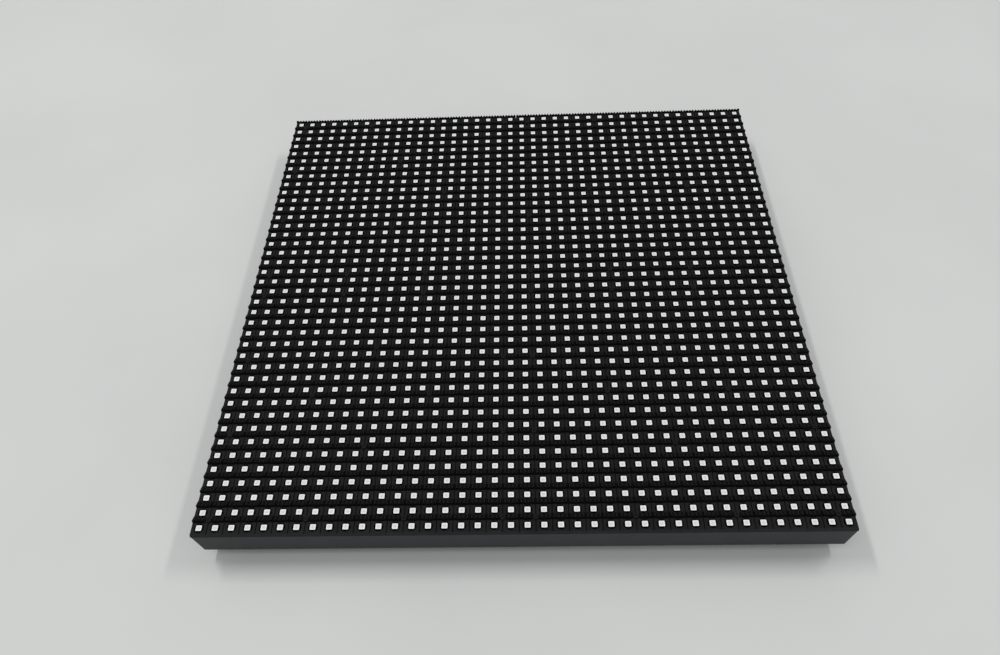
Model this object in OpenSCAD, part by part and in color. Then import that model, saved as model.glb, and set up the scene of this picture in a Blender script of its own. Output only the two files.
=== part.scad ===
// Outdoor LED display module, lying face up on its rear gasket.
// Millimetres, +Z out of the display face, +Y towards the top of the picture.

/* [Pixel grid] */
// Distance from one LED to the next
pitch = 8; // [7.5:0.5:12]
// LEDs along each side
leds_per_side = 40; // [24:4:48]

/* [LEDs] */
// Side of the square LED package
led_w = 3; // [2.6:0.1:3.1]
// Height of the LED package above the board
led_h = 2.8; // [2.4:0.1:3.4]

/* [Mask] */
// Thickness of the mask plate
mask_t = 1.6; // [1.2:0.1:2]
// Gap between the mask plate and the board, which the screw spacers bridge
mask_gap = 0.8; // [0.4:0.1:1.2]
// Clearance between an LED's corners and its round window
window_gap = 0.1; // [0.05:0.05:0.12]
// Gap between the two mask halves
seam_gap = 0.3; // [0.2:0.1:0.6]
// Distance from the middle of an LED to the front foot of its visor
visor_front = 2.7; // [2.5:0.1:3]
// Height of a visor above the mask plate
visor_h = 1.5; // [1.4:0.1:2]
// How far the ridge of a visor is set back from its front foot
visor_lean = 0.7; // [0.4:0.1:0.7]
// Depth of a visor's wedge from its front foot to its back foot
visor_w = 3; // [2.4:0.1:3.1]
// Width of the round-bottomed notch between two visors of a row
notch_w = 2.4; // [1.8:0.1:2.6]

/* [Mask screws] */
// Screws along one edge of a quarter of the module
edge_screws = 4; // [3:1:5]
// Distance of a quarter's four middle screws from its middle, in LEDs
ring_step = 4; // [3:1:5]
// Diameter of the screw shank
screw_d = 1.7; // [1.4:0.1:2.2]
// Length of the screw shank
screw_l = 14; // [10:1:16]
// Diameter of the screw head
head_d = 2.8; // [2.6:0.1:3.2]
// Height of the screw head
head_h = 1.1; // [0.8:0.1:1.3]
// Diameter of the recess in the screw head
recess_d = 1.4; // [1:0.1:1.6]
// Depth of the recess in the screw head
recess_h = 0.6; // [0.4:0.1:0.7]
// Diameter of the bosses and spacers around the screws
boss_d = 5; // [4.4:0.2:6]
// Clearance around the screw in the mask and the board
screw_gap = 0.3; // [0.2:0.05:0.4]
// Clearance around the screw in its boss
pilot_gap = 0.03; // [0.02:0.01:0.05]

/* [Circuit board] */
// Thickness of the board
board_t = 1.6; // [1:0.2:2]
// Clearance between the board and the case wall
board_gap = 0.2; // [0.1:0.05:0.3]

/* [Rear case] */
// Height of the side wall
side_h = 17.5; // [15:0.5:24]
// Thickness of the side wall
wall_t = 1.6; // [1.2:0.1:1.7]
// Draft of the side wall: how far its lower edge is set in
wall_draft = 1; // [0.4:0.1:1.4]
// Set-back of the case wall from the edge of the mask
case_inset = 0.2; // [0.1:0.1:0.3]
// Set-back of the rear frame from the edge of the module
frame_inset = 10; // [9:0.5:12]
// Height of the side wall's lower edge above the rest plane
frame_h = 8; // [6:0.5:12]
// Width of the frame's rim
rim_w = 4; // [3.6:0.2:5]
// Thickness of the flange between the side wall and the frame
flange_t = 2; // [1.6:0.2:3]
// Thickness of the frame wall above the flange and of the ribs
rib_t = 2; // [1.6:0.2:3]
// Height of the lower edge of the ribs above the rest plane
rib_lift = 3.5; // [3:0.5:5]

/* [Mounting posts] */
// Diameter of a post
post_d = 9; // [8:0.5:10]
// Overlap of a post with the rim
post_bite = 0.5; // [0.4:0.1:0.6]
// Outer diameter of a threaded insert
insert_d = 5.6; // [5:0.1:6]
// Length of a threaded insert
insert_l = 8; // [6:0.5:10]
// Core diameter of the insert's thread
thread_d = 3.3; // [3.2:0.1:3.5]
// Clearance around an insert
insert_gap = 0.02; // [0.01:0.01:0.05]

/* [Gasket] */
// Width of the gasket
gasket_w = 1.8; // [1.4:0.1:2]
// Depth of the groove that holds the gasket
groove_h = 2.5; // [2:0.1:3]
// Height of the gasket proud of the rim
gasket_proud = 1; // [0.6:0.1:1.4]
// Clearance on each side of the gasket
gasket_gap = 0.1; // [0.05:0.05:0.15]

/* [Connectors] */
// Pins in each row of a data header
data_pins = 8; // [5:1:10]
// Distance between the pins of a data header
data_pitch = 2.54; // [2:0.01:2.54]
// Side of a data pin
data_pin_w = 0.64; // [0.5:0.02:0.7]
// Length of a data header beyond its outer pins
data_end = 5; // [4.4:0.1:5.6]
// Width of a data header
data_w = 8.9; // [8.4:0.1:9.4]
// Height of a data header
data_h = 9; // [8:0.1:10]
// Wall of a data header
data_wall = 1.2; // [1:0.1:1.4]
// Floor of a data header
data_floor = 2.4; // [1.6:0.1:3]
// Width of the key slot in a data header
key_w = 4.5; // [3.5:0.1:5]
// Distance from a data pin's tip to the header's rim
data_pin_drop = 1.2; // [0.6:0.1:2]
// Pins of the power header
power_pins_n = 4; // [2:1:5]
// Distance between the pins of the power header
power_pitch = 3.96; // [3.5:0.01:4.2]
// Side of a power pin
power_pin_w = 1.14; // [0.9:0.02:1.3]
// Length of a power pin
power_pin_l = 10.4; // [9:0.1:12]
// Width of the power header
power_w = 8.5; // [8:0.1:9.5]
// Height of the power header's base
power_base = 3.2; // [2.6:0.1:4]
// Height of the power header's back wall
power_h = 9; // [8:0.1:10]
// Thickness of the power header's back wall
power_wall = 1.4; // [1:0.1:1.8]
// Clearance around a pin in its header
pin_gap = 0.02; // [0.01:0.01:0.04]

/* [Chips] */
// Distance of the driver chips from the middle of their window
chip_step = 22; // [18:0.5:24]
// Distance of the buffer chips from the middle of their data header
buffer_step = 24; // [22:0.5:26]
// Distance between the row switches of a window
switch_step = 14; // [12:0.5:16]
// Length of a driver chip
driver_l = 8.7; // [8:0.1:9.2]
// Length of a buffer chip
buffer_l = 12.8; // [12:0.1:13.2]
// Length of a decoder chip
decoder_l = 9.9; // [9.4:0.1:10.4]
// Length of a row switch
switch_l = 4.9; // [4.4:0.1:5.4]
// Width of a narrow chip's body
chip_w = 3.9; // [3.6:0.1:4.2]
// Width of a buffer chip's body
buffer_w = 7.5; // [7:0.1:8]
// Height of a chip's body
chip_h = 1.5; // [1.2:0.1:1.8]
// Reach of the leads beyond the body
lead_reach = 1.1; // [0.9:0.05:1.4]
// Thickness of the leads
lead_t = 0.25; // [0.2:0.05:0.3]
// Distance from a driver chip's middle to its passives
passive_step = 7; // [6.4:0.1:8]
// Length of a chip capacitor or resistor
passive_l = 2; // [1.6:0.1:2.4]
// Width of a chip capacitor or resistor
passive_w = 1.25; // [0.8:0.05:1.4]
// Height of a chip capacitor
chip_cap_h = 1; // [0.8:0.1:1.2]
// Height of a chip resistor
chip_res_h = 0.5; // [0.4:0.05:0.6]

/* [Bulk capacitors] */
// Diameter of a capacitor can
can_d = 8; // [6.3:0.1:8.4]
// Height of a capacitor can above its base
can_h = 8.7; // [6:0.1:9.5]
// Radius of the can's rolled edge
can_edge = 0.8; // [0.4:0.1:1]
// Side of a capacitor's base
can_base_w = 8.3; // [8.3:0.1:9]
// Height of a capacitor's base
can_base_h = 1.5; // [1:0.1:2]
// Distance of the capacitors from the middle of their window
can_step = 14; // [13:0.5:16]

/* [Hidden] */
$fn = 48;
// Overshoot of a cut past the face that it opens
cut = 1;

// Overall sizes across the face
half_n = leds_per_side / 2;
half = pitch * half_n;
case_half = half - case_inset;
wall_in = case_half - wall_t;

// Levels above the rest plane
rim_z = gasket_proud;
skirt_z = frame_h;
flange_z = skirt_z + flange_t;
seat_z = skirt_z + side_h;
board_top = seat_z - mask_gap;
board_back = board_top - board_t;
floor_z = seat_z + mask_t;
visor_z = floor_z + visor_h;

// Half width at a height of a wall face that leans in downwards from its half width at the seat
function drafted(seat_half, z) = seat_half - wall_draft * (seat_z - z) / side_h;
board_half = drafted(wall_in, board_back) - board_gap;

// Places of the LEDs, screws, ribs and windows along one axis
function at(i) = (i - (leds_per_side - 1) / 2) * pitch;
screw_first = 0.5;
screw_last = half_n - 1.5;
screw_mid = floor((screw_first + screw_last) / 2) + 0.5;
screw_run = [
    for (k = [0:edge_screws - 1])
        round(k * (screw_last - screw_first) / (edge_screws - 1)) + screw_first
];
function on_edge(u) = u == screw_first || u == screw_last;

// Screws of the lower left quarter, in the gaps between LEDs: a ring along its edge and four by its middle
quarter_screws = concat(
    [for (u = screw_run, v = screw_run) if (on_edge(u) || on_edge(v)) [u, v]],
    [for (s = [-1, 1]) [screw_mid + s * ring_step, screw_mid]],
    [for (s = [-1, 1]) [screw_mid, screw_mid + s * ring_step]]
);
rib_lines = [at(screw_mid), at(screw_last), -at(screw_last), -at(screw_mid)];

// Rear frame and posts
frame_out = half - frame_inset;
rim_in = frame_out - rim_w;
rim_mid = frame_out - rim_w / 2;
frame_in = frame_out - rib_t;
post_at = rim_in - post_d / 2 + post_bite;
post_places = [
    for (x = [-1:1], y = [-1:1])
        if (x != 0 || y != 0) [x, y] * post_at
];

// Windows between the ribs, numbered from the lower left
outer_window = (-rim_in + rib_lines[0]) / 2;
inner_window = (rib_lines[0] + rib_lines[1]) / 2;
window_lines = [outer_window, inner_window, -inner_window, -outer_window];
data_in_at = [window_lines[0], window_lines[2]];
data_out_at = [window_lines[3], window_lines[2]];
power_at = [window_lines[2], window_lines[2]];

// Chip places: four to a window, with the one nearest the middle of the board for a decoder
chip_places = [
    for (x = window_lines, y = window_lines, sx = [-1, 1], sy = [-1, 1])
        [x + sx * chip_step, y + sy * chip_step]
];
decoder_x = -inner_window - chip_step;
function is_decoder(p) = abs(p[0]) == decoder_x && abs(p[1]) == decoder_x;
driver_places = [for (p = chip_places) if (!is_decoder(p)) p];
decoder_places = [for (p = chip_places) if (is_decoder(p)) p];
buffer_places = [
    for (h = [data_in_at, data_out_at], s = [-1, 1]) h + [0, s * buffer_step]
];
switch_places = [
    for (x = [outer_window, -outer_window], y = [outer_window, -outer_window], k = [-1:1])
        [x, y + k * switch_step]
];
can_places = [
    for (x = [inner_window, -inner_window], y = [inner_window, -inner_window], s = [-1, 1])
        [x, y + s * can_step]
];

// Helpers

module box_at(x, y, z, size) {
    translate([x - size[0] / 2, y - size[1] / 2, z]) cube(size);
}

module square_ring(out_half, in_half, z, h) {
    translate([0, 0, z]) linear_extrude(h) difference() {
        square(2 * out_half, center = true);
        square(2 * in_half, center = true);
    }
}

// A square block whose four sides lean in downwards
module drafted_block(seat_half, z, top) {
    low = drafted(seat_half, z);
    high = drafted(seat_half, top);
    section = [[-low, z], [low, z], [high, top], [-high, top]];
    intersection() {
        rotate([90, 0, 0]) linear_extrude(2 * high, center = true) polygon(section);
        rotate([90, 0, 90]) linear_extrude(2 * high, center = true) polygon(section);
    }
}

// Puts children at each screw of the right-hand half
module at_half_screws() {
    for (p = quarter_screws, s = [-1, 1]) translate([-at(p[0]), s * at(p[1]), 0]) children();
}

module at_all_screws() {
    for (m = [0, 1]) mirror([m, 0, 0]) at_half_screws() children();
}

// Hangs children from the back of the board, with their own +Z pointing down
module on_board_back(p) {
    translate([p[0], p[1], board_back]) rotate([180, 0, 0]) children();
}

// Louvred mask

// Section of the mask across its rows: a plate with a steep-fronted wedge behind each row of LEDs.
// The wedge behind the last row stops at the edge of the module.
last_ridge = at(leds_per_side - 1) + visor_front + visor_lean;
edge_z = max(floor_z, visor_z - visor_h * (half - last_ridge) / (visor_w - visor_lean));
wedges = [
    for (r = [0:leds_per_side - 1])
        let (front = at(r) + visor_front, back = front + visor_w)
        each [
            [front, floor_z],
            [front + visor_lean, visor_z],
            r == leds_per_side - 1 ? [half, edge_z] : [back, floor_z]
        ]
];
mask_section = concat([[-half, seat_z], [-half, floor_z]], wedges, [[half, seat_z]]);

module mask_half() {
    window_d = led_w * sqrt(2) + 2 * window_gap;
    difference() {
        union() {
            translate([seam_gap / 2, 0, 0]) rotate([90, 0, 90])
                linear_extrude(half - seam_gap / 2) polygon(mask_section);
            at_half_screws() translate([0, 0, board_top])
                cylinder(d = boss_d, h = floor_z - board_top);
        }
        for (c = [half_n:leds_per_side - 1], r = [0:leds_per_side - 1])
            translate([at(c), at(r), seat_z - cut]) cylinder(d = window_d, h = mask_t + 2 * cut);
        for (c = [half_n - 1:leds_per_side - 2])
            translate([at(c + 0.5), 0, visor_z]) rotate([90, 0, 0])
                cylinder(d = notch_w, h = 2 * (half + cut), center = true);
        at_half_screws() {
            translate([0, 0, board_top - cut])
                cylinder(d = screw_d + 2 * screw_gap, h = mask_t + mask_gap + 2 * cut);
            translate([0, 0, floor_z])
                cylinder(d = head_d + 2 * screw_gap, h = visor_h + cut);
        }
    }
}

module mask_right() {
    color("#1b1c1e") mask_half();
}

module mask_left() {
    color("#1b1c1e") mirror([1, 0, 0]) mask_half();
}

module mask_screws() {
    screw_section = [
        [0, -screw_l],
        [screw_d / 2, -screw_l],
        [screw_d / 2, 0],
        [head_d / 2, 0],
        [head_d / 2, head_h],
        [recess_d / 2, head_h],
        [recess_d / 2, head_h - recess_h],
        [0, head_h - recess_h]
    ];
    color("#3a3b3d") at_all_screws() translate([0, 0, floor_z])
        rotate_extrude() polygon(screw_section);
}

// Board and LEDs

module leds() {
    color("#e4e4e2") for (r = [0:leds_per_side - 1]) union() {
        for (c = [0:leds_per_side - 1]) box_at(at(c), at(r), board_top, [led_w, led_w, led_h]);
    }
}

module circuit_board() {
    color("#141517") difference() {
        box_at(0, 0, board_back, [2 * board_half, 2 * board_half, board_t]);
        at_all_screws() translate([0, 0, board_back - cut])
            cylinder(d = screw_d + 2 * screw_gap, h = board_t + 2 * cut);
    }
}

// Rear case

module rear_case() {
    color("#35363a") difference() {
        union() {
            difference() {
                drafted_block(case_half, skirt_z, seat_z);
                drafted_block(wall_in, flange_z, seat_z + cut);
                box_at(0, 0, skirt_z - cut, [2 * rim_in, 2 * rim_in, flange_t + 2 * cut]);
            }
            square_ring(frame_out, rim_in, rim_z, flange_z - rim_z);
            square_ring(frame_out, frame_in, rim_z, board_back - rim_z);
            for (x = rib_lines) {
                box_at(x, 0, rib_lift, [rib_t, 2 * frame_out - rib_t, board_back - rib_lift]);
                box_at(0, x, rib_lift, [2 * frame_out - rib_t, rib_t, board_back - rib_lift]);
            }
            at_all_screws() translate([0, 0, skirt_z])
                cylinder(d = boss_d, h = board_back - skirt_z);
            for (p = post_places) translate([p[0], p[1], rim_z])
                cylinder(d = post_d, h = board_back - rim_z);
        }
        square_ring(rim_mid + gasket_w / 2 + gasket_gap, rim_mid - gasket_w / 2 - gasket_gap,
            rim_z - cut, groove_h + cut);
        at_all_screws() translate([0, 0, floor_z - screw_l - cut])
            cylinder(d = screw_d + 2 * pilot_gap, h = board_back - floor_z + screw_l + 2 * cut);
        for (p = post_places) translate([p[0], p[1], rim_z - cut])
            cylinder(d = insert_d + 2 * insert_gap, h = insert_l + 2 * cut);
    }
}

module rear_gasket() {
    color("#101010")
        square_ring(rim_mid + gasket_w / 2, rim_mid - gasket_w / 2, 0, gasket_proud + groove_h);
}

module threaded_inserts() {
    color("#c9a24b") for (p = post_places) translate([p[0], p[1], rim_z]) difference() {
        cylinder(d = insert_d, h = insert_l);
        translate([0, 0, -cut]) cylinder(d = thread_d, h = insert_l + 2 * cut);
    }
}

// Connectors

module at_data_pins() {
    for (i = [0:data_pins - 1], s = [-0.5, 0.5])
        translate([s * data_pitch, (i - (data_pins - 1) / 2) * data_pitch, 0]) children();
}

module data_header(p) {
    data_l = (data_pins - 1) * data_pitch + 2 * data_end;
    hole_w = data_pin_w + 2 * pin_gap;
    color("#1c1c1e") on_board_back(p) difference() {
        box_at(0, 0, 0, [data_w, data_l, data_h]);
        box_at(0, 0, data_floor, [data_w - 2 * data_wall, data_l - 2 * data_wall, data_h]);
        box_at(data_w / 2, 0, data_floor, [data_w, key_w, data_h]);
        at_data_pins() box_at(0, 0, -cut, [hole_w, hole_w, data_floor + 2 * cut]);
    }
}

module data_pin_set(p) {
    color("#d2b45a") on_board_back(p) at_data_pins()
        box_at(0, 0, 0, [data_pin_w, data_pin_w, data_h - data_pin_drop]);
}

module data_in_header() {
    data_header(data_in_at);
}

module data_in_pins() {
    data_pin_set(data_in_at);
}

module data_out_header() {
    data_header(data_out_at);
}

module data_out_pins() {
    data_pin_set(data_out_at);
}

module at_power_pins() {
    for (i = [0:power_pins_n - 1])
        translate([(i - (power_pins_n - 1) / 2) * power_pitch, 0, 0]) children();
}

module power_header() {
    power_l = power_pins_n * power_pitch;
    hole_w = power_pin_w + 2 * pin_gap;
    color("#e9e6da") on_board_back(power_at) difference() {
        union() {
            box_at(0, 0, 0, [power_l, power_w, power_base]);
            box_at(0, (power_w - power_wall) / 2, 0, [power_l, power_wall, power_h]);
        }
        at_power_pins() box_at(0, 0, -cut, [hole_w, hole_w, power_base + 2 * cut]);
    }
}

module power_pins() {
    color("#c8c8c8") on_board_back(power_at) at_power_pins()
        box_at(0, 0, 0, [power_pin_w, power_pin_w, power_pin_l]);
}

// Chips and passives

// A chip along Y: one section with the body standing on the leads, which run out as a strip on both sides
module chip(l, w) {
    foot = w / 2 + lead_reach;
    section = [
        [-foot, 0],
        [foot, 0],
        [foot, lead_t],
        [w / 2, lead_t],
        [w / 2, chip_h],
        [-w / 2, chip_h],
        [-w / 2, lead_t],
        [-foot, lead_t]
    ];
    translate([0, l / 2, 0]) rotate([90, 0, 0]) linear_extrude(l) polygon(section);
}

module driver_ics() {
    color("#222326") for (p = driver_places) on_board_back(p) chip(driver_l, chip_w);
}

module buffer_ics() {
    color("#222326") for (p = buffer_places) on_board_back(p)
        rotate([0, 0, 90]) chip(buffer_l, buffer_w);
}

module decoder_ics() {
    color("#222326") for (p = decoder_places) on_board_back(p) chip(decoder_l, chip_w);
}

module row_switches() {
    color("#222326") for (p = switch_places) on_board_back(p) chip(switch_l, chip_w);
}

module capacitor_cans() {
    color("#c4c6c8") for (p = can_places) on_board_back(p) translate([0, 0, can_base_h])
        rotate_extrude() {
            square([can_d / 2, can_h - can_edge]);
            square([can_d / 2 - can_edge, can_h]);
            translate([can_d / 2 - can_edge, can_h - can_edge]) intersection() {
                circle(can_edge);
                square(can_edge);
            }
        }
}

module capacitor_bases() {
    color("#1a1a1a") for (p = can_places) on_board_back(p)
        box_at(0, 0, 0, [can_base_w, can_base_w, can_base_h]);
}

module chip_capacitors() {
    color("#b59a72") for (p = chip_places) on_board_back(p + [0, passive_step])
        box_at(0, 0, 0, [passive_l, passive_w, chip_cap_h]);
}

module chip_resistors() {
    color("#1f1f22") for (p = driver_places) on_board_back(p - [0, passive_step])
        box_at(0, 0, 0, [passive_l, passive_w, chip_res_h]);
}

mask_left();
mask_right();
mask_screws();
leds();
circuit_board();
rear_case();
rear_gasket();
threaded_inserts();
data_in_header();
data_in_pins();
data_out_header();
data_out_pins();
power_header();
power_pins();
driver_ics();
buffer_ics();
decoder_ics();
row_switches();
capacitor_cans();
capacitor_bases();
chip_capacitors();
chip_resistors();
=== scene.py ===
"""Looks of the LED display module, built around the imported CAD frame. Shapes are written in millimetres."""
import math

import bmesh
import bpy
from mathutils import Matrix, Vector


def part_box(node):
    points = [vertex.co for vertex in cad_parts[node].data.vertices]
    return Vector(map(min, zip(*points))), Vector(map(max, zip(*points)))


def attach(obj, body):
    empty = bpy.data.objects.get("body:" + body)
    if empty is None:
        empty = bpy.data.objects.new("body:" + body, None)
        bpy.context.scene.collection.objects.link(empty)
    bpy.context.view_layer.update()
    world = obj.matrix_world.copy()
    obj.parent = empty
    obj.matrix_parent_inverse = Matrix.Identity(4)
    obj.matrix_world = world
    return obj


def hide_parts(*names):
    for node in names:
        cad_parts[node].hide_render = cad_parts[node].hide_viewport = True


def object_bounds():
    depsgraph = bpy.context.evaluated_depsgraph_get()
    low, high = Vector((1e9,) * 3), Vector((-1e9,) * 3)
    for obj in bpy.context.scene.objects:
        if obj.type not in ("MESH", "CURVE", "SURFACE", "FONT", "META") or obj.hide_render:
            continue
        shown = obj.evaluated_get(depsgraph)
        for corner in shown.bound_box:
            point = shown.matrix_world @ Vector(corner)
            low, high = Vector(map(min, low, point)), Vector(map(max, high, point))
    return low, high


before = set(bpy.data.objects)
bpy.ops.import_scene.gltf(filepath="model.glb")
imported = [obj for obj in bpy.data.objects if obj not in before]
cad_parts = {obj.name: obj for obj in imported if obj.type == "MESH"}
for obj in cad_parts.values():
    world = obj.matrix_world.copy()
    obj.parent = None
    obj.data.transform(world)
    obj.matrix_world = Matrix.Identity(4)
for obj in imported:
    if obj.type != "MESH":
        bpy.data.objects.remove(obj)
cad_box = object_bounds()

MM = 0.001
BODY = "root"

# Front mask
PITCH = 8.0
MASK_PLATE = 1.6
SEAM_GAP = 0.3
FRONT_LEAN = 0.9
WINDOW_R = 2.22
WINDOW_CHAMFER = 0.2
WINDOW_STEPS = 16
GROOVE_HALF = 0.2
GROOVE_DEPTH = 0.35
SPACER_R = 2.5
SPACER_STEPS = 12

# Visors: distance of the ridge from its LED's middle, its width, and how far the foot sinks into the plate
VISOR_TOP = 3.35
VISOR_RIDGE = 0.25
VISOR_SINK = 0.04
# A rib lower than this belongs to a notch
NOTCH_H = 0.5
# Pitch of the bands in the visors' colour: lighter ribs, with painted shade between them
RIB_PITCH = 2.0
# Room along the visor on each side of a screw, and how far a screw may lie from the line between two rows
HEAD_CLEAR = 1.75
SAME_ROW = 1

# Ribs of a visor from the middle of an LED outwards:
# place, height above the mask's floor, front foot, back foot
RIBS = [
    (0.15, 0.6, 2.5, 5.55), (0.75, 1.45, 2.5, 5.6), (1.25, 1.45, 2.55, 5.7),
    (1.8, 0.6, 2.7, 6.1), (2.2, 0.6, 2.8, 6.3),
    (2.75, 1.5, 2.9, 6.6), (3.3, 1.5, 2.9, 6.6), (3.7, 0.4, 2.9, 6.2), (4.0, 0.25, 2.9, 6.2),
]
# The last rib runs on to the outer edge of the mask
EDGE_RIBS = RIBS[:7] + [(4.0, 1.2, 2.9, 6.6)]

# Distances within which corners are joined: in a built piece and in a copy of a CAD node
PIECE_WELD = 0.002
NODE_WELD = 0.001
# Angles in degrees below which an edge is shaded smooth: in a built piece, a screw and a copy of a CAD node
SMOOTH_BUILT = 30
SMOOTH_SCREW = 40
SMOOTH_COPY = 20
# Angles in degrees in a copy of a CAD node: edges flatter than the first are dissolved,
# and those sharper than the second are bevelled
FLAT_ANGLE = 1
SHARP_ANGLE = 40


def low(node):
    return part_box(node)[0] / MM


def high(node):
    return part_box(node)[1] / MM


HALF = high("mask_right").x
BOARD_TOP = high("circuit_board").z
BOARD_BACK = low("circuit_board").z
SEAT = high("rear_case").z
FLOOR = SEAT + MASK_PLATE
LED_TOP = high("leds").z
PER_HALF = round(HALF / PITCH)


# Mesh helpers

class Builder:
    """Gathers points in millimetres and faces with a material number, for one mesh."""

    def __init__(self):
        self.points = []
        self.faces = []
        self.kinds = []

    def add(self, points, faces, kind=0):
        base = len(self.points)
        self.points.extend(points)
        self.faces.extend([[base + i for i in face] for face in faces])
        self.kinds.extend([kind] * len(faces))

    def repeat(self, other, turns):
        """Adds a copy of another builder for each matrix."""
        for turn in turns:
            base = len(self.points)
            self.points.extend([tuple(turn @ Vector(p)) for p in other.points])
            self.faces.extend([[base + i for i in face] for face in other.faces])
            self.kinds.extend(other.kinds)


def stack(builder, loops, kind=0, cap_kind=None, ring=False):
    """Skins a list of equal loops and caps both ends, or joins the last loop of a ring to its first."""
    count = len(loops[0])
    points = [p for loop in loops for p in loop]
    bands = len(loops) if ring else len(loops) - 1
    faces = []
    for b in range(bands):
        start, after = b * count, (b + 1) % len(loops) * count
        for i in range(count):
            j = (i + 1) % count
            faces.append((start + i, start + j, after + j, after + i))
    base = len(builder.points)
    builder.add(points, faces, kind)
    if not ring:
        top = base + (len(loops) - 1) * count
        builder.faces.append([base + i for i in reversed(range(count))])
        builder.faces.append([top + i for i in range(count)])
        builder.kinds.extend([kind, kind if cap_kind is None else cap_kind])


def circle(radius, z, count):
    return [(radius * math.cos(2 * math.pi * i / count), radius * math.sin(2 * math.pi * i / count), z)
            for i in range(count)]


def rounded_square(half, corner, z, steps=2):
    """A square loop with round corners, counter-clockwise from its +X side."""
    loop = []
    for quarter in range(4):
        turn = quarter * math.pi / 2
        for k in range(steps + 1):
            angle = turn + k * math.pi / 2 / steps
            cx = (half - corner) * (1 if quarter in (0, 3) else -1)
            cy = (half - corner) * (1 if quarter in (0, 1) else -1)
            loop.append((cx + corner * math.cos(angle), cy + corner * math.sin(angle), z))
    return loop


def rectangle(half_x, half_y, z):
    return [(half_x, half_y, z), (-half_x, half_y, z), (-half_x, -half_y, z), (half_x, -half_y, z)]


def make_piece(name, builder, materials, node, smooth_angle=SMOOTH_BUILT, weld=False):
    """Turns a builder into a piece that rides on the part and stands for a CAD node."""
    mesh = bpy.data.meshes.new(name)
    mesh.from_pydata([(x * MM, y * MM, z * MM) for x, y, z in builder.points], [], builder.faces)
    mesh.polygons.foreach_set("material_index", builder.kinds)
    finish_piece(name, mesh, materials, node, smooth_angle, weld)


def finish_piece(name, mesh, materials, node, smooth_angle, weld):
    shape = bmesh.new()
    shape.from_mesh(mesh)
    if weld:
        bmesh.ops.remove_doubles(shape, verts=shape.verts, dist=PIECE_WELD * MM)
    bmesh.ops.recalc_face_normals(shape, faces=shape.faces)
    limit = math.radians(smooth_angle)
    for face in shape.faces:
        face.smooth = True
    for edge in shape.edges:
        edge.smooth = len(edge.link_faces) == 2 and edge.calc_face_angle(math.pi) < limit
    shape.to_mesh(mesh)
    shape.free()
    for material in materials:
        mesh.materials.append(material)
    piece = bpy.data.objects.new(name, mesh)
    bpy.context.scene.collection.objects.link(piece)
    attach(piece, BODY)
    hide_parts(node)


def welded_copy(node):
    """The CAD node's shape with its split corners joined again."""
    shape = bmesh.new()
    shape.from_mesh(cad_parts[node].data)
    bmesh.ops.remove_doubles(shape, verts=shape.verts, dist=NODE_WELD * MM)
    return shape


def islands(node):
    """The lowest and highest corner, in millimetres, of each separate solid of a CAD node, row by row."""
    shape = welded_copy(node)
    left = set(shape.verts)
    boxes = []
    while left:
        waiting = [left.pop()]
        members = []
        while waiting:
            vert = waiting.pop()
            members.append(vert.co / MM)
            for edge in vert.link_edges:
                other = edge.other_vert(vert)
                if other in left:
                    left.remove(other)
                    waiting.append(other)
        lows = Vector([min(p[k] for p in members) for k in range(3)])
        highs = Vector([max(p[k] for p in members) for k in range(3)])
        boxes.append((lows, highs))
    shape.free()
    return sorted(boxes, key=lambda box: (round(box[0].y, 2), round(box[0].x, 2)))


def at_middle(lows, highs, z=0):
    """Moves a shape to the middle of a solid, as seen from above."""
    return Matrix.Translation(((lows.x + highs.x) / 2, (lows.y + highs.y) / 2, z))


def bevelled_copy(name, node, materials, width, segments=2):
    """The CAD node's own shape with small rounded edges."""
    shape = welded_copy(node)
    bmesh.ops.dissolve_limit(shape, angle_limit=math.radians(FLAT_ANGLE),
                             verts=shape.verts, edges=shape.edges)
    limit = math.radians(SHARP_ANGLE)
    sharp = [e for e in shape.edges if len(e.link_faces) == 2 and e.calc_face_angle(0) > limit]
    bmesh.ops.bevel(shape, geom=sharp, offset=width * MM, segments=segments, profile=0.5, affect="EDGES",
                    clamp_overlap=True)
    mesh = bpy.data.meshes.new(name)
    shape.to_mesh(mesh)
    shape.free()
    finish_piece(name, mesh, materials, node, SMOOTH_COPY, weld=False)


# Materials: lengths are in millimetres

# Where most values of a noise texture lie, and how far the roughness strays from its mean
NOISE_SPAN = (0.3, 0.7)
ROUGHNESS_SPREAD = 0.07
# Blender's wave texture repeats at this length when its scale is 1
WAVE_LENGTH = math.pi / 10
# Resin: shade over the chips, and the distances from the LED's middle between which it pales
CHIP_SHADE = 0.8
CHIP_ZONE = (0.15, 0.6)
# Shade of the dullest LED
DULL_LED = 0.94
# Tracks and joining dots of the board: size of a cell, then the rest as shares of it
TRACK_CELL = 6
TRACK_HALF_PITCH = 0.12
TRACK_EDGE = (0.05, 0.07)
DOT_CELL = 5
DOT_EDGE = (0.075, 0.06)


def new_material(name):
    material = bpy.data.materials.new(name)
    material.use_nodes = True
    return material, material.node_tree.nodes, material.node_tree.links


def opened(material):
    """A material's nodes and links, its shader's colour input, and what feeds that."""
    nodes, links = material.node_tree.nodes, material.node_tree.links
    colour = nodes["Principled BSDF"].inputs["Base Color"]
    return nodes, links, colour, colour.links[0].from_socket


def scaled(colour, factor):
    return tuple(min(1.0, c * factor) for c in colour) + (1.0,)


def noise(nodes, links, source, grain, detail=3.0):
    texture = nodes.new("ShaderNodeTexNoise")
    texture.inputs["Scale"].default_value = 1 / (grain * MM)
    texture.inputs["Detail"].default_value = detail
    links.new(source.outputs["Object"], texture.inputs["Vector"])
    return texture.outputs["Fac"]


def remap(nodes, links, value, low_in, high_in, low_out=0, high_out=1):
    node = nodes.new("ShaderNodeMapRange")
    limits = {"From Min": low_in, "From Max": high_in, "To Min": low_out, "To Max": high_out}
    for key, number in limits.items():
        node.inputs[key].default_value = number
    links.new(value, node.inputs["Value"])
    return node.outputs["Result"]


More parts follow.
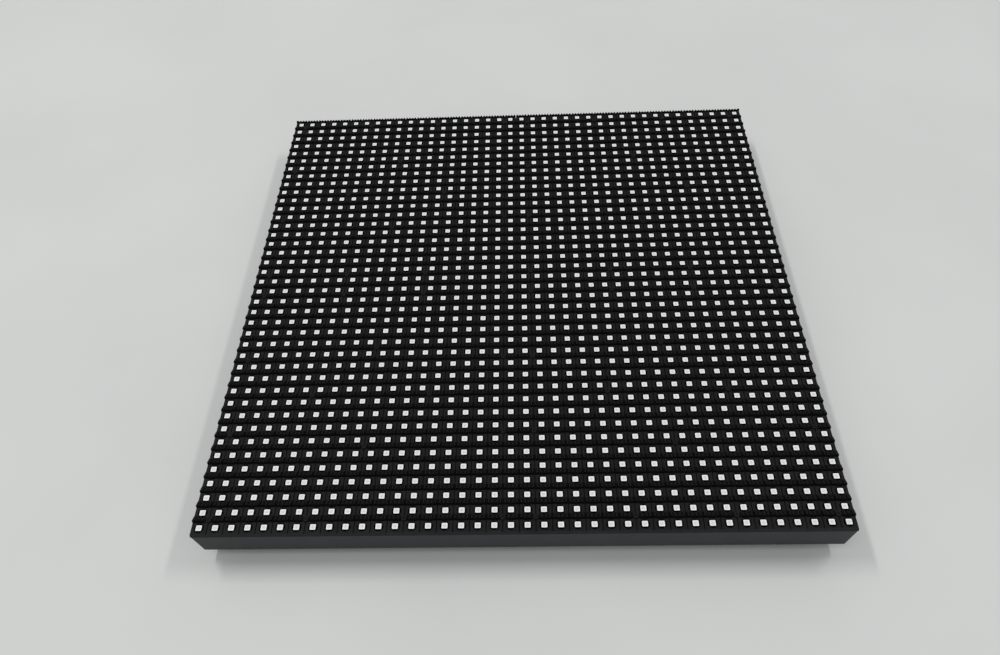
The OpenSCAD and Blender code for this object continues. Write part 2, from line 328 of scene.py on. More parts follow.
def mix(nodes, links, factor, a, b):
    """Mixes two colours, each a tuple or a socket, by a factor that varies over the surface."""
    node = nodes.new("ShaderNodeMix")
    node.data_type = "RGBA"
    links.new(factor, node.inputs["Factor"])
    for key, colour in (("A", a), ("B", b)):
        socket = next(s for s in node.inputs if s.name == key and s.type == "RGBA")
        if isinstance(colour, tuple):
            socket.default_value = colour
        else:
            links.new(colour, socket)
    return next(s for s in node.outputs if s.type == "RGBA")


def surface(name, colour, roughness, spread=0.12, mottle=6.0, grain=0.2, bump=0.01, specular=0.5,
            metallic=0.0):
    """A moulded, rolled or coated surface: mottled colour, and roughness and bump from a fine grain."""
    material, nodes, links = new_material(name)
    shader = nodes["Principled BSDF"]
    shader.inputs["Metallic"].default_value = metallic
    shader.inputs["Specular IOR Level"].default_value = specular
    source = nodes.new("ShaderNodeTexCoord")
    broad = remap(nodes, links, noise(nodes, links, source, mottle), *NOISE_SPAN)
    tone = mix(nodes, links, broad, scaled(colour, 1 - spread), scaled(colour, 1 + spread))
    links.new(tone, shader.inputs["Base Color"])
    fine = noise(nodes, links, source, grain, detail=4)
    dull = remap(nodes, links, fine, *NOISE_SPAN, roughness - ROUGHNESS_SPREAD, roughness + ROUGHNESS_SPREAD)
    links.new(dull, shader.inputs["Roughness"])
    relief = nodes.new("ShaderNodeBump")
    relief.inputs["Strength"].default_value = 1.0
    relief.inputs["Distance"].default_value = bump * MM
    links.new(fine, relief.inputs["Height"])
    links.new(relief.outputs["Normal"], shader.inputs["Normal"])
    return material


def led_distance(nodes, links):
    """Distance from the middle of the nearest LED, in metres."""
    source = nodes.new("ShaderNodeTexCoord")
    wrap = nodes.new("ShaderNodeVectorMath")
    wrap.operation = "WRAP"
    links.new(source.outputs["Object"], wrap.inputs[0])
    wrap.inputs[1].default_value = (PITCH * MM, PITCH * MM, 1)
    wrap.inputs[2].default_value = (0, 0, 0)
    flat = nodes.new("ShaderNodeVectorMath")
    flat.operation = "MULTIPLY"
    links.new(wrap.outputs["Vector"], flat.inputs[0])
    flat.inputs[1].default_value = (1, 1, 0)
    middle = nodes.new("ShaderNodeVectorMath")
    middle.operation = "DISTANCE"
    links.new(flat.outputs["Vector"], middle.inputs[0])
    middle.inputs[1].default_value = (PITCH * MM / 2, PITCH * MM / 2, 0)
    return middle.outputs["Value"]


def led_lens(name, colour):
    """Milky resin in the LED's cup: greyer towards the chips in its middle."""
    material = surface(name, colour, 0.5, spread=0.03, mottle=1.5, grain=0.4, bump=0.004, specular=0.2)
    nodes, links, target, resin = opened(material)
    pale = remap(nodes, links, led_distance(nodes, links), CHIP_ZONE[0] * MM, CHIP_ZONE[1] * MM)
    links.new(mix(nodes, links, pale, scaled(colour, CHIP_SHADE), resin), target)
    return material


def led_body(name, colour):
    """White moulded LED package: each one a little lighter or darker than the next."""
    material = surface(name, colour, 0.5, spread=0.03, mottle=3, grain=0.3, bump=0.004, specular=0.25)
    nodes, links, target, tone = opened(material)
    each = nodes.new("ShaderNodeNewGeometry")
    links.new(mix(nodes, links, each.outputs["Random Per Island"], scaled(colour, DULL_LED), tone), target)
    return material


def visor_shade_bands(name, groove, top):
    """Textured black plastic in bands, with painted shade darkest in the grooves between the ribs."""
    material = surface(name, top, 0.7, spread=0.25, mottle=1.5, grain=0.25, bump=0.03, specular=0.02)
    nodes, links, target, tone = opened(material)
    source = nodes.new("ShaderNodeTexCoord")
    bands = nodes.new("ShaderNodeTexWave")
    bands.inputs["Scale"].default_value = WAVE_LENGTH / (RIB_PITCH * MM)
    links.new(source.outputs["Object"], bands.inputs["Vector"])
    # The darker bands are painted shade for the grooves
    links.new(mix(nodes, links, bands.outputs["Fac"], scaled(groove, 1), tone), target)
    return material


def board_mask(name, colour, copper, via):
    """Solder mask over copper: fine tracks show as lighter lines, with tinned dots where layers join."""
    material = surface(name, colour, 0.4, spread=0.08, mottle=15, grain=0.3, bump=0.004, specular=0.1)
    nodes, links, target, tone = opened(material)
    source = nodes.new("ShaderNodeTexCoord")
    tracks = nodes.new("ShaderNodeTexVoronoi")
    tracks.distance = "MANHATTAN"
    tracks.feature = "F2"
    tracks.inputs["Scale"].default_value = 1 / (TRACK_CELL * MM)
    links.new(source.outputs["Object"], tracks.inputs["Vector"])
    lines = nodes.new("ShaderNodeMath")
    lines.operation = "PINGPONG"
    lines.inputs[1].default_value = TRACK_HALF_PITCH
    links.new(tracks.outputs["Distance"], lines.inputs[0])
    shown = remap(nodes, links, lines.outputs["Value"], *TRACK_EDGE)
    tracked = mix(nodes, links, shown, tone, scaled(copper, 1))
    holes = nodes.new("ShaderNodeTexVoronoi")
    holes.inputs["Scale"].default_value = 1 / (DOT_CELL * MM)
    links.new(source.outputs["Object"], holes.inputs["Vector"])
    dots = remap(nodes, links, holes.outputs["Distance"], *DOT_EDGE)
    links.new(mix(nodes, links, dots, tracked, scaled(via, 1)), target)
    return material


MASK = surface("mask_black", (0.0086, 0.0086, 0.0088), 0.55,
               spread=0.2, mottle=9, grain=0.18, bump=0.012, specular=0.075)
# A lighter copy of the mask's black for its outer sides: painted sheen
MASK_PAINTED_SHEEN = surface("mask_side_painted_sheen", (0.0205, 0.0205, 0.0214), 0.5,
                    spread=0.15, mottle=6, grain=0.2, bump=0.008, specular=0.1)
VISOR = visor_shade_bands("visor_black", (0.0045, 0.0045, 0.0046), (0.0118, 0.0118, 0.012))
# Near-black painted shade for the visors' fronts, the notches, the windows' walls and the grooves
VISOR_SHADE_PAINT = surface("visor_painted_shade", (0.004, 0.004, 0.0041), 0.75,
                     spread=0.25, mottle=1.5, grain=0.25, bump=0.03, specular=0.02)
CASE = surface("case_grey", (0.0385, 0.0395, 0.043), 0.6,
               spread=0.08, mottle=12, grain=0.22, bump=0.01, specular=0.18)
RUBBER = surface("seal_rubber", (0.016, 0.016, 0.017), 0.8,
                 spread=0.15, grain=0.35, bump=0.03, specular=0.25)
SCREW = surface("screw_black", (0.009, 0.009, 0.0098), 0.5,
                spread=0.15, mottle=1.5, grain=0.1, bump=0.004, specular=0.08)
LED_WHITE = led_body("led_white", (0.88, 0.885, 0.88))
LED_RESIN = led_lens("led_resin", (0.66, 0.66, 0.665))
# Near-black for the packages' sides: painted shade in the gap round each LED
LED_SIDE_SHADE_PAINT = surface("led_side_painted_shade", (0.012, 0.012, 0.013), 0.5,
                   spread=0.1, mottle=2, grain=0.2, bump=0.004, specular=0.2)
BRASS = surface("brass", (0.62, 0.42, 0.15), 0.32,
                spread=0.1, mottle=3, grain=0.15, bump=0.004, metallic=1.0)
GOLD = surface("gold_plate", (0.83, 0.6, 0.24), 0.25,
               spread=0.06, mottle=2, grain=0.1, bump=0.002, metallic=1.0)
TIN = surface("tin_plate", (0.62, 0.62, 0.6), 0.38,
              spread=0.08, mottle=1.5, grain=0.12, bump=0.004, metallic=1.0)
ALUMINIUM = surface("can_metal", (0.7, 0.71, 0.73), 0.3,
                    spread=0.05, mottle=4, grain=0.15, bump=0.003, metallic=1.0)
INK = surface("can_ink", (0.02, 0.02, 0.022), 0.45, spread=0.1, mottle=3, grain=0.2, bump=0.002)
HEADER = surface("header_black", (0.017, 0.017, 0.018), 0.5,
                 spread=0.12, mottle=4, grain=0.2, bump=0.008, specular=0.35)
NYLON = surface("power_nylon", (0.72, 0.69, 0.61), 0.45, spread=0.05, mottle=5, grain=0.3, bump=0.006)
EPOXY = surface("chip_epoxy", (0.022, 0.022, 0.024), 0.55,
                spread=0.12, mottle=2, grain=0.15, bump=0.008, specular=0.35)
CERAMIC = surface("chip_ceramic", (0.42, 0.29, 0.16), 0.5, spread=0.1, mottle=1, grain=0.1, bump=0.004)
GLAZE = surface("resistor_glaze", (0.025, 0.025, 0.028), 0.3, spread=0.1, mottle=1, grain=0.1, bump=0.003)
BOARD = board_mask("board_black", (0.008, 0.0085, 0.009), (0.016, 0.017, 0.018), (0.5, 0.5, 0.48))


# Front mask

# The mask's finishes, and the numbers by which its faces name them
FINISHES = [MASK, VISOR, VISOR_SHADE_PAINT, MASK_PAINTED_SHEEN]
PLATE, RIBBED, PAINTED_SHADE, SHEEN_SIDE = range(len(FINISHES))


def half_places():
    """Places of the LEDs of the right-hand half, column by column."""
    return [(i + 0.5) * PITCH for i in range(PER_HALF)]


def row_places():
    return [(i + 0.5 - PER_HALF) * PITCH for i in range(2 * PER_HALF)]


def mask_cell():
    """The plate around one LED: a chamfered round window, and half of a groove on each side."""
    cell = Builder()
    edge, inner = PITCH / 2, PITCH / 2 - GROOVE_HALF
    mouth = circle(WINDOW_R + WINDOW_CHAMFER, FLOOR, WINDOW_STEPS)
    throat = circle(WINDOW_R, FLOOR - WINDOW_CHAMFER, WINDOW_STEPS)
    back = circle(WINDOW_R, SEAT, WINDOW_STEPS)
    frame_faces(cell, rectangle(inner, edge, FLOOR), mouth)
    frame_faces(cell, rectangle(edge, edge, SEAT), back)
    # The window's chamfer and bore, and the grooves, take the painted shade
    for upper, lower in ((mouth, throat), (throat, back)):
        count = len(upper)
        faces = [(i, (i + 1) % count, count + (i + 1) % count, count + i) for i in range(count)]
        cell.add(upper + lower, faces, PAINTED_SHADE)
    dip = FLOOR - GROOVE_DEPTH
    for side in (-1, 1):
        cell.add([(side * inner, -edge, FLOOR), (side * inner, edge, FLOOR),
                  (side * edge, edge, dip), (side * edge, -edge, dip)], [(0, 1, 2, 3)], PAINTED_SHADE)
    return cell


def frame_faces(builder, outer, loop):
    """Faces between a rectangle from +X +Y and a circle in it from +X, both counter-clockwise."""
    corners, count = len(outer), len(loop)
    per = count // corners
    faces = []
    for corner in range(corners):
        for k in range(corner * per, (corner + 1) * per):
            faces.append((corner, corners + k, corners + (k + 1) % count))
        following = (corner + 1) % corners
        faces.append((corner, corners + following * per, following))
    builder.add(outer + loop, faces, PLATE)


def mask_rim(builder):
    """Side walls of the plate, one face for each cell. The outer walls get a lighter black as painted sheen,
    and the walls at the seam have the plate's finish.
    """
    edge, inner = PITCH / 2, PITCH / 2 - GROOVE_HALF
    dip = FLOOR - GROOVE_DEPTH
    for x in half_places():
        for y in (-HALF, HALF):
            builder.add([(x - edge, y, dip), (x - inner, y, FLOOR), (x + inner, y, FLOOR),
                         (x + edge, y, dip), (x + edge, y, SEAT), (x - edge, y, SEAT)],
                        [(0, 1, 2, 3, 4, 5)], SHEEN_SIDE)
    for y in row_places():
        for x, kind in ((0, PLATE), (HALF, SHEEN_SIDE)):
            builder.add([(x, y - edge, dip), (x, y + edge, dip), (x, y + edge, SEAT), (x, y - edge, SEAT)],
                        [(0, 1, 2, 3)], kind)


def rib_stations(row_y, screw_places):
    """Ribs along a visor from the seam to the edge, sunk where a screw head needs room."""
    towards_seam = [(-rib[0], *rib[1:]) for rib in reversed(RIBS[:-1])]
    near = [x for x, y in screw_places if abs(y - row_y - PITCH / 2) < SAME_ROW]
    stations = [(0.0, *RIBS[-1][1:])]
    for middle in half_places():
        outwards = EDGE_RIBS if middle + PITCH > HALF else RIBS
        stations.extend((middle + rib[0], *rib[1:]) for rib in towards_seam + outwards)
    sunk = -VISOR_SINK / 2
    return [(x, sunk if any(abs(x - s) < HEAD_CLEAR for s in near) else h, f, b) for x, h, f, b in stations]


def visor_section(x, height, front, back, row_y):
    """Points across a visor: leaning front, flat ridge, and a slope to the back foot or the part's edge."""
    top = row_y + VISOR_TOP
    ridge = top + VISOR_RIDGE
    back += row_y
    bottom = FLOOR - VISOR_SINK
    points = [(x, row_y + front, bottom), (x, top, FLOOR + height), (x, ridge, FLOOR + height)]
    if back > HALF:
        share = (HALF - ridge) / (back - ridge)
        points += [(x, HALF, FLOOR + height * (1 - share)), (x, HALF, bottom)]
    else:
        points += [(x, back, bottom)]
    return points


def visor(builder, row_y, screw_places):
    """One row's visor, with painted shade on its front and all round the notches."""
    stations = rib_stations(row_y, screw_places)
    sections = [visor_section(*station, row_y) for station in stations]
    first, count = len(builder.kinds), len(sections[0])
    stack(builder, sections, RIBBED)
    for band in range(len(sections) - 1):
        start = first + band * count
        notch = min(stations[band][1], stations[band + 1][1]) < NOTCH_H
        # Painted shade on the visor's front face, and on every face of a notch
        painted_shade_faces = count if notch else 1
        builder.kinds[start:start + painted_shade_faces] = [PAINTED_SHADE] * painted_shade_faces


def fitted(x, y, z):
    """Keeps a point of the right-hand half out of the seam, and leans the mask's front side back."""
    back = FRONT_LEAN * (z - SEAT) / MASK_PLATE if y <= -HALF else 0
    return (max(x, SEAM_GAP / 2), y + back, z)


def mask_half(screw_places):
    """The right-hand mask: its cells, rim, visors and the spacers round its screws."""
    builder = Builder()
    cell = mask_cell()
    builder.repeat(cell, [Matrix.Translation((x, y, 0)) for x in half_places() for y in row_places()])
    mask_rim(builder)
    for y in row_places():
        visor(builder, y, screw_places)
    for x, y in screw_places:
        loops = [[(x + px, y + py, pz) for px, py, pz in circle(SPACER_R, z, SPACER_STEPS)]
                 for z in (BOARD_TOP, SEAT)]
        stack(builder, loops)
    builder.points = [fitted(*point) for point in builder.points]
    return builder


def mirrored(builder):
    turned = Builder()
    turned.repeat(builder, [Matrix.Scale(-1, 4, Vector((1, 0, 0)))])
    return turned


SCREW_BOXES = islands("mask_screws")
SCREWS = [(lows + highs) / 2 for lows, highs in SCREW_BOXES]
right_mask = mask_half([(p.x, p.y) for p in SCREWS if p.x > 0])
make_piece("front_mask_right", right_mask, FINISHES, "mask_right", weld=True)
make_piece("front_mask_left", mirrored(right_mask), FINISHES, "mask_left", weld=True)


# LEDs

# Half width and corner radius of the package at its foot, its shoulder and its face's rim, and of its cup
LED_FOOT = (1.5, 0.2)
LED_SHOULDER = (1.46, 0.3)
LED_RIM = (1.39, 0.35)
CUP_RIM = (1.1, 0.4)
CUP_FLOOR = (1.04, 0.4)
SHOULDER_DROP = 0.1
CUP_DEPTH = 0.1
LED_FINISHES = [LED_WHITE, LED_RESIN, LED_SIDE_SHADE_PAINT]
SHELL, RESIN, SHADED_FLANK = range(len(LED_FINISHES))


def led():
    """A white package with sides in painted shade, and a resin-filled cup."""
    unit = Builder()
    loops = [
        rounded_square(*LED_FOOT, BOARD_TOP),
        rounded_square(*LED_SHOULDER, LED_TOP - SHOULDER_DROP),
        rounded_square(*LED_RIM, LED_TOP),
        rounded_square(*CUP_RIM, LED_TOP),
        rounded_square(*CUP_FLOOR, LED_TOP - CUP_DEPTH),
    ]
    stack(unit, loops, SHELL, cap_kind=RESIN)
    # The package's sides take the painted shade
    sides = 2 * len(loops[0])
    unit.kinds[:sides] = [SHADED_FLANK] * sides
    return unit


leds = Builder()
leds.repeat(led(), [at_middle(lows, highs) for lows, highs in islands("leds")])
make_piece("led_packages", leds, LED_FINISHES, "leds")


# Mask screws

SHANK_R = 0.85
TIP_R = 0.3 * SHANK_R
TIP_L = 1.5
HEAD_R = 1.4
HEAD_H = 1.1
# Round the head: share of its radius, depth below its top
HEAD_PROFILE = [(1, 0.4), (0.85, 0.1), (0.66, 0)]
# The cross recess: length and half width of an arm, depth, and its floor's share of its mouth
ARM_L = 0.78
ARM_HALF_W = 0.2
RECESS_DEPTH = 0.5
RECESS_FLOOR = 0.7
# Each screw stopped at another angle
SCREW_TURN = 0.7


def screw(bottom, top):
    """A pan-head screw with a cross recess."""
    unit = Builder()
    corners = [(ARM_L, -ARM_HALF_W), (ARM_L, ARM_HALF_W), (ARM_HALF_W, ARM_HALF_W)]
    arm = [Vector((x, y, 0)) for x, y in corners]
    turns = [Matrix.Rotation(quarter * math.pi / 2, 3, "Z") for quarter in range(4)]
    cross = [turn @ point for turn in turns for point in arm]
    angles = [math.atan2(p.y, p.x) for p in cross]

    def ring(radius, z):
        return [(radius * math.cos(a), radius * math.sin(a), z) for a in angles]

    seat = top - HEAD_H
    loops = [ring(TIP_R, bottom), ring(SHANK_R, bottom + TIP_L), ring(SHANK_R, seat), ring(HEAD_R, seat)]
    loops += [ring(HEAD_R * share, top - depth) for share, depth in HEAD_PROFILE]
    loops.append([(p.x, p.y, top) for p in cross])
    loops.append([(p.x * RECESS_FLOOR, p.y * RECESS_FLOOR, top - RECESS_DEPTH) for p in cross])
    stack(unit, loops)
    return unit


screws = Builder()
screws.repeat(screw(SCREW_BOXES[0][0].z, SCREW_BOXES[0][1].z), [
    Matrix.Translation((p.x, p.y, 0)) @ Matrix.Rotation(k * SCREW_TURN, 4, "Z") for k, p in enumerate(SCREWS)
])
make_piece("mask_screw_set", screws, [SCREW], "mask_screws", smooth_angle=SMOOTH_SCREW)


# Case, seal and inserts

bevelled_copy("case_moulding", "rear_case", [CASE], width=0.3)
bevelled_copy("rear_seal", "rear_gasket", [RUBBER], width=0.35)

INSERT_R = 2.8
INSERT_BEVEL = 0.2
INSERT_STEPS = 24
# Thread: radius at crest and at root, pitch, and the least length at the bottom that stays without it
CREST_R = 1.65
ROOT_R = 2.0
THREAD = 0.7
THREAD_END = 0.8


def insert(bottom, top):
    """A brass insert with turned edges and thread grooves in its bore."""
    unit = Builder()
    bevel_r = INSERT_R - INSERT_BEVEL
    profile = [(ROOT_R, bottom), (bevel_r, bottom), (INSERT_R, bottom + INSERT_BEVEL),
               (INSERT_R, top - INSERT_BEVEL), (bevel_r, top)]
    z = top
    for _ in range(int((top - bottom - THREAD_END) / THREAD)):
        profile += [(ROOT_R, z), (CREST_R, z - THREAD / 2)]
        z -= THREAD
    stack(unit, [circle(r, z, INSERT_STEPS) for r, z in profile], ring=True)
    return unit


inserts = Builder()
for lows, highs in islands("threaded_inserts"):
    inserts.repeat(insert(lows.z, highs.z), [at_middle(lows, highs)])
make_piece("insert_set", inserts, [BRASS], "threaded_inserts")


# Connectors

for side in ("in", "out"):
    bevelled_copy(f"data_{side}_shroud", f"data_{side}_header", [HEADER], width=0.2)
    bevelled_copy(f"data_{side}_contacts", f"data_{side}_pins", [GOLD], width=0.12, segments=1)
bevelled_copy("power_shroud", "power_header", [NYLON], width=0.25)
bevelled_copy("power_contacts", "power_pins", [TIN], width=0.2, segments=1)


# Chips and passives on the back of the board

# A chip's body: height above the board, draft of its sides, bevel of its top,
# and height of its waist as a share of the chip's
BODY_LIFT = 0.12
BODY_DRAFT = 0.12
BODY_BEVEL = 0.06
WAIST = 0.5
# The dot by its first lead: radius, distance from the edges, depth in the body and height above it
DOT_R = 0.32
DOT_INSET = 0.75
DOT_SINK = 0.05
DOT_RISE = 0.005
DOT_STEPS = 12
# Its leads: thickness, reach into the body, and distance of the outer ones from the body's ends
LEAD_T = 0.2
LEAD_TUCK = 0.15
LEAD_MARGIN = 0.5
# A lead's knee as a share of the free lead, and the bends of its two faces as shares of the knee
KNEE = 0.45
UPPER_BENDS = (0.6, 1, 1.15)
LOWER_BENDS = (0.4, 0.75, 0.95)
# The middle bend's height as a share of the waist's, and its drop underneath as a share of the thickness
BEND_H = 0.45
BEND_SINK = 0.3
# A passive's ends: how far they stand out from its block, bevel, and lap over the block
END_STEP = 0.04
END_BEVEL = 0.06
END_LAP = 0.01

# The second finish of a chip or passive is its tinned metal, and that of a can its ink
TINNED = INKED = 1
UPSIDE_DOWN = Matrix.Rotation(math.pi, 4, "X")


def lead_lines(half_w, foot, waist):
    """Upper and lower line of a gull-wing lead: distance from the chip's middle, height."""
    knee = (foot - half_w) * KNEE
    lines = []
    for bends, heights in (
        (UPPER_BENDS, (waist, waist, waist * BEND_H, LEAD_T, LEAD_T)),
        (LOWER_BENDS, (waist - LEAD_T, waist - LEAD_T, waist * BEND_H - LEAD_T * BEND_SINK, 0, 0)),
    ):
        places = [half_w - LEAD_TUCK, *(half_w + knee * share for share in bends), foot]
        lines.append(list(zip(places, heights)))
    return lines


def chip(size, body_w, leads, lead_w):
    """A chip along Y with its leads along X, standing on z = 0 with +Z away from the board."""
    unit = Builder()
    foot, length, height = size.x / 2, size.y / 2, size.z
    half_w, waist = body_w / 2, height * WAIST
    top_w, top_l = half_w - BODY_DRAFT, length - BODY_DRAFT
    stack(unit, [
        rectangle(top_w, top_l, BODY_LIFT),
        rectangle(half_w, length, waist),
        rectangle(top_w, top_l, height - BODY_BEVEL),
        rectangle(top_w - BODY_BEVEL, top_l - BODY_BEVEL, height),
    ])
    dot_x, dot_y = -half_w + DOT_INSET, -length + DOT_INSET
    stack(unit, [[(dot_x + x, dot_y + y, z) for x, y, z in circle(DOT_R, level, DOT_STEPS)]
                 for level in (height - DOT_SINK, height + DOT_RISE)])
    upper, lower = lead_lines(half_w, foot, waist)
    spread = 2 * (length - LEAD_MARGIN)
    for k in range(leads):
        y = -length + LEAD_MARGIN + spread * k / (leads - 1)
        for side in (-1, 1):
            stack(unit, [[(side * a[0], y - lead_w / 2, a[1]), (side * a[0], y + lead_w / 2, a[1]),
                          (side * b[0], y + lead_w / 2, b[1]), (side * b[0], y - lead_w / 2, b[1])]
                         for a, b in zip(upper, lower)], kind=TINNED)
    return unit


def chip_set(name, node, body_w, leads, lead_w, turned=False):
    boxes = islands(node)
    size = boxes[0][1] - boxes[0][0]
    flip = UPSIDE_DOWN
    if turned:
        size = Vector((size.y, size.x, size.z))
        flip = flip @ Matrix.Rotation(math.pi / 2, 4, "Z")
    chips = Builder()
    chips.repeat(chip(size, body_w, leads, lead_w), [at_middle(*box, BOARD_BACK) @ flip for box in boxes])
    make_piece(name, chips, [EPOXY, TIN], node)


chip_set("driver_chips", "driver_ics", body_w=3.9, leads=12, lead_w=0.28)
chip_set("buffer_chips", "buffer_ics", body_w=7.5, leads=10, lead_w=0.42, turned=True)
chip_set("decoder_chips", "decoder_ics", body_w=3.9, leads=8, lead_w=0.42)
chip_set("switch_chips", "row_switches", body_w=3.9, leads=4, lead_w=0.42)


def passive(size, cap_share):
    """A chip capacitor or resistor: a ceramic block with tinned ends."""
    unit = Builder()
    half_l, half_w, height = size.x / 2, size.y / 2, size.z
    end = half_l * (1 - cap_share)

    def section(x, shrink):
        return [(x, half_w - shrink, shrink), (x, half_w - shrink, height - shrink),
                (x, -half_w + shrink, height - shrink), (x, -half_w + shrink, shrink)]

    stack(unit, [section(-end, END_STEP), section(end, END_STEP)])
    for side in (-1, 1):
        cap = [(end - END_LAP, 0), (half_l - END_BEVEL, 0), (half_l, END_BEVEL)]
        stack(unit, [section(side * x, shrink) for x, shrink in cap], kind=TINNED)
    return unit


def passive_set(name, node, material, cap_share):
    boxes = islands(node)
    chips = Builder()
    chips.repeat(passive(boxes[0][1] - boxes[0][0], cap_share),
                 [at_middle(*box, BOARD_BACK) @ UPSIDE_DOWN for box in boxes])
    make_piece(name, chips, [material, TIN], node)


passive_set("ceramic_set", "chip_capacitors", CERAMIC, cap_share=0.45)
passive_set("resistor_set", "chip_resistors", GLAZE, cap_share=0.4)

# A can's foot with its rolled groove: inset, height. Its shoulder: inset, depth below its end
CAN_FOOT = [(0.15, 0), (0, 0.15), (0, 1.2), (0.35, 1.6), (0, 2.0)]
CAN_SHOULDER = [(0, 0.8), (0.1, 0.35), (0.35, 0.1), (0.8, 0)]
CAN_STEPS = 32
# The polarity mark: inset, place of its straight side as a share of the radius,
# depth in the can and height above it
MARK_INSET = 0.85
MARK_START = 0.35
MARK_SINK = 0.05
MARK_RISE = 0.01
MARK_STEPS = 64


def can(radius, height):
    """An aluminium can with a rolled groove, a round shoulder and a dark polarity mark on its end."""
    unit = Builder()
    profile = [(radius - inset, z) for inset, z in CAN_FOOT]
    profile += [(radius - inset, height - depth) for inset, depth in CAN_SHOULDER]
    stack(unit, [circle(r, z, CAN_STEPS) for r, z in profile])
    mark = [p for p in circle(radius - MARK_INSET, 0, MARK_STEPS) if p[0] > radius * MARK_START]
    mark.sort(key=lambda p: p[1])
    levels = (height - MARK_SINK, height + MARK_RISE)
    stack(unit, [[(x, y, z) for x, y, _ in mark] for z in levels], kind=INKED)
    return unit


cans = Builder()
for lows, highs in islands("capacitor_cans"):
    place = at_middle(lows, highs, highs.z)
    cans.repeat(can((highs.x - lows.x) / 2, highs.z - lows.z), [place @ UPSIDE_DOWN])
make_piece("can_set", cans, [ALUMINIUM, INK], "capacitor_cans")
bevelled_copy("can_base_set", "capacitor_bases", [HEADER], width=0.3)

# The board keeps its CAD shape
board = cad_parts["circuit_board"]
board.data.materials.clear()
board.data.materials.append(BOARD)


# Stage, light and camera: lengths are in metres

TABLE_REACH = 4.0
TABLE_GAP = 0.0002
# Distances from the part's middle between which the floor runs into the backdrop
FADE = (0.75, 2.4)
BACKDROP = (0.7, 0.71, 0.71, 1)
SKY_COLOUR = (0.97, 0.99, 1.0, 1)
SKY_STRENGTH = 0.48
LAMP_COLOUR = (1.0, 0.995, 0.98)
# Name, place, length along Y, width, power in watts
LAMPS = [
    ("left_tube", (-0.95, 0.45, 2.0), 0.9, 0.14, 14.8),
    ("right_tube", (1.3, 0.45, 2.0), 0.9, 0.14, 12.5),
    ("front_panel", (-0.4, -0.7, 2.0), 0.8, 0.8, 7),
]
# Camera: focal length, film width and place from the middle of the LEDs' faces, all in millimetres
LENS = 28.84
FILM = 36.0
CAMERA_PLACE = (5.97, -319.89, 360.34)
CAMERA_FORWARD = (-0.03503, 0.61965, -0.7841)
CAMERA_RIGHT = (0.99921, 0.007, -0.0391)
# Nearest distance that the camera shows, in metres
NEAR_CLIP = 0.01


def fade_out(material):
    """Runs the floor's surface into the backdrop."""
    nodes, links = material.node_tree.nodes, material.node_tree.links
    source = nodes.new("ShaderNodeTexCoord")
    distance = nodes.new("ShaderNodeVectorMath")
    distance.operation = "LENGTH"
    links.new(source.outputs["Object"], distance.inputs[0])
    backdrop = nodes.new("ShaderNodeEmission")
    backdrop.inputs["Color"].default_value = BACKDROP
    blend = nodes.new("ShaderNodeMixShader")
    links.new(remap(nodes, links, distance.outputs["Value"], *FADE), blend.inputs["Fac"])
    links.new(nodes["Principled BSDF"].outputs["BSDF"], blend.inputs[1])
    links.new(backdrop.outputs["Emission"], blend.inputs[2])
    links.new(blend.outputs["Shader"], nodes["Material Output"].inputs["Surface"])


def floor():
    """A pale table top just below the part."""
    mesh = bpy.data.meshes.new("floor")
    near, far = -TABLE_REACH, TABLE_REACH
    mesh.from_pydata([(near, near, 0), (far, near, 0), (far, far, 0), (near, far, 0)], [], [(0, 1, 2, 3)])
    plane = bpy.data.objects.new("floor", mesh)
    plane.location.z = cad_box[0].z - TABLE_GAP
    bpy.context.scene.collection.objects.link(plane)
    table = surface("table_white", (0.605, 0.612, 0.605), 0.55,
                    spread=0.03, mottle=160, grain=0.6, bump=0.01, specular=0.2)
    fade_out(table)
    mesh.materials.append(table)


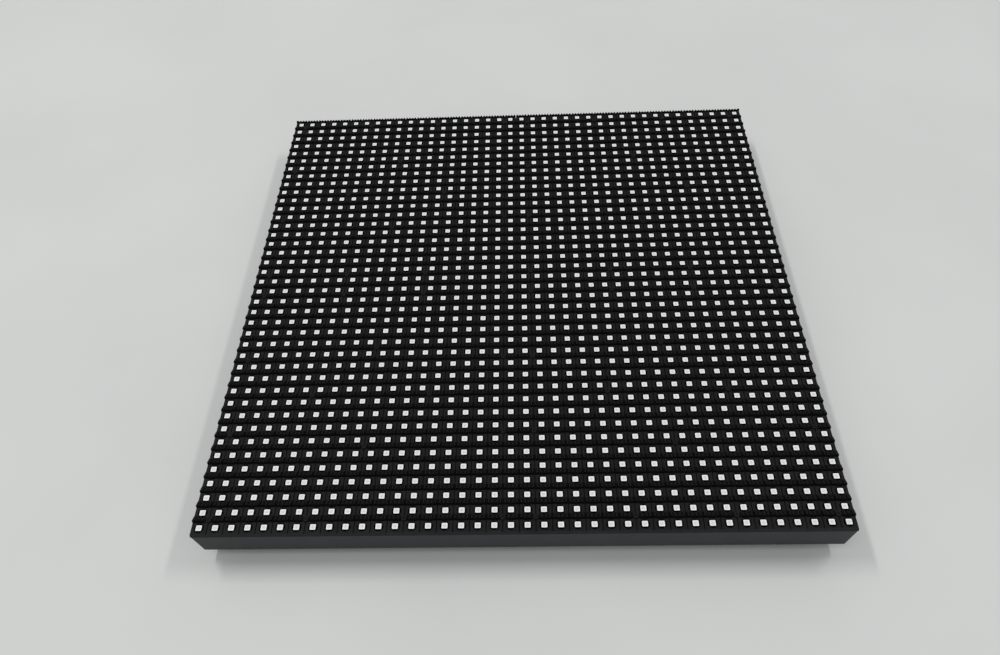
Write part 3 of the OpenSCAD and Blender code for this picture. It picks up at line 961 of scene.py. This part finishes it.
def ceiling_lamp(name, place, length, width, power):
    """A lamp with its length along Y, tilted about Y to face the part."""
    light = bpy.data.lights.new(name, "AREA")
    light.shape = "RECTANGLE"
    light.size = length
    light.size_y = width
    light.energy = power
    light.color = LAMP_COLOUR
    lamp = bpy.data.objects.new(name, light)
    lamp.location = place
    lamp.rotation_mode = "QUATERNION"
    lamp.rotation_quaternion = Vector((-place[0], 0, -place[2])).to_track_quat("-Z", "Y")
    bpy.context.scene.collection.objects.link(lamp)


def sky():
    """Even room light, with a pale backdrop for what looks straight at it or mirrors it."""
    world = bpy.data.worlds.new("room")
    bpy.context.scene.world = world
    world.use_nodes = True
    nodes, links = world.node_tree.nodes, world.node_tree.links
    light = nodes["Background"]
    light.inputs["Color"].default_value = SKY_COLOUR
    light.inputs["Strength"].default_value = SKY_STRENGTH
    seen = nodes.new("ShaderNodeBackground")
    seen.inputs["Color"].default_value = BACKDROP
    path = nodes.new("ShaderNodeLightPath")
    total = path.outputs["Is Camera Ray"]
    for key in ("Is Glossy Ray", "Is Transmission Ray"):
        most = nodes.new("ShaderNodeMath")
        most.operation = "MAXIMUM"
        links.new(total, most.inputs[0])
        links.new(path.outputs[key], most.inputs[1])
        total = most.outputs["Value"]
    switch = nodes.new("ShaderNodeMixShader")
    links.new(total, switch.inputs["Fac"])
    links.new(light.outputs["Background"], switch.inputs[1])
    links.new(seen.outputs["Background"], switch.inputs[2])
    links.new(switch.outputs["Shader"], nodes["World Output"].inputs["Surface"])


def camera():
    """The photograph's camera, found from the grid of LEDs."""
    data = bpy.data.cameras.new("camera")
    data.sensor_width = FILM
    data.sensor_fit = "HORIZONTAL"
    data.lens = LENS
    data.clip_start = NEAR_CLIP
    forward = Vector(CAMERA_FORWARD).normalized()
    right = Vector(CAMERA_RIGHT)
    right = (right - forward * right.dot(forward)).normalized()
    up = right.cross(forward)
    x, y, z = CAMERA_PLACE
    place = Vector((x, y, LED_TOP + z)) * MM
    cam = bpy.data.objects.new("camera", data)
    cam.matrix_world = Matrix.Translation(place) @ Matrix((right, up, -forward)).transposed().to_4x4()
    bpy.context.scene.collection.objects.link(cam)
    bpy.context.scene.camera = cam


floor()
sky()
for lamp in LAMPS:
    ceiling_lamp(*lamp)
camera()
bpy.context.scene.view_settings.view_transform = "Standard"
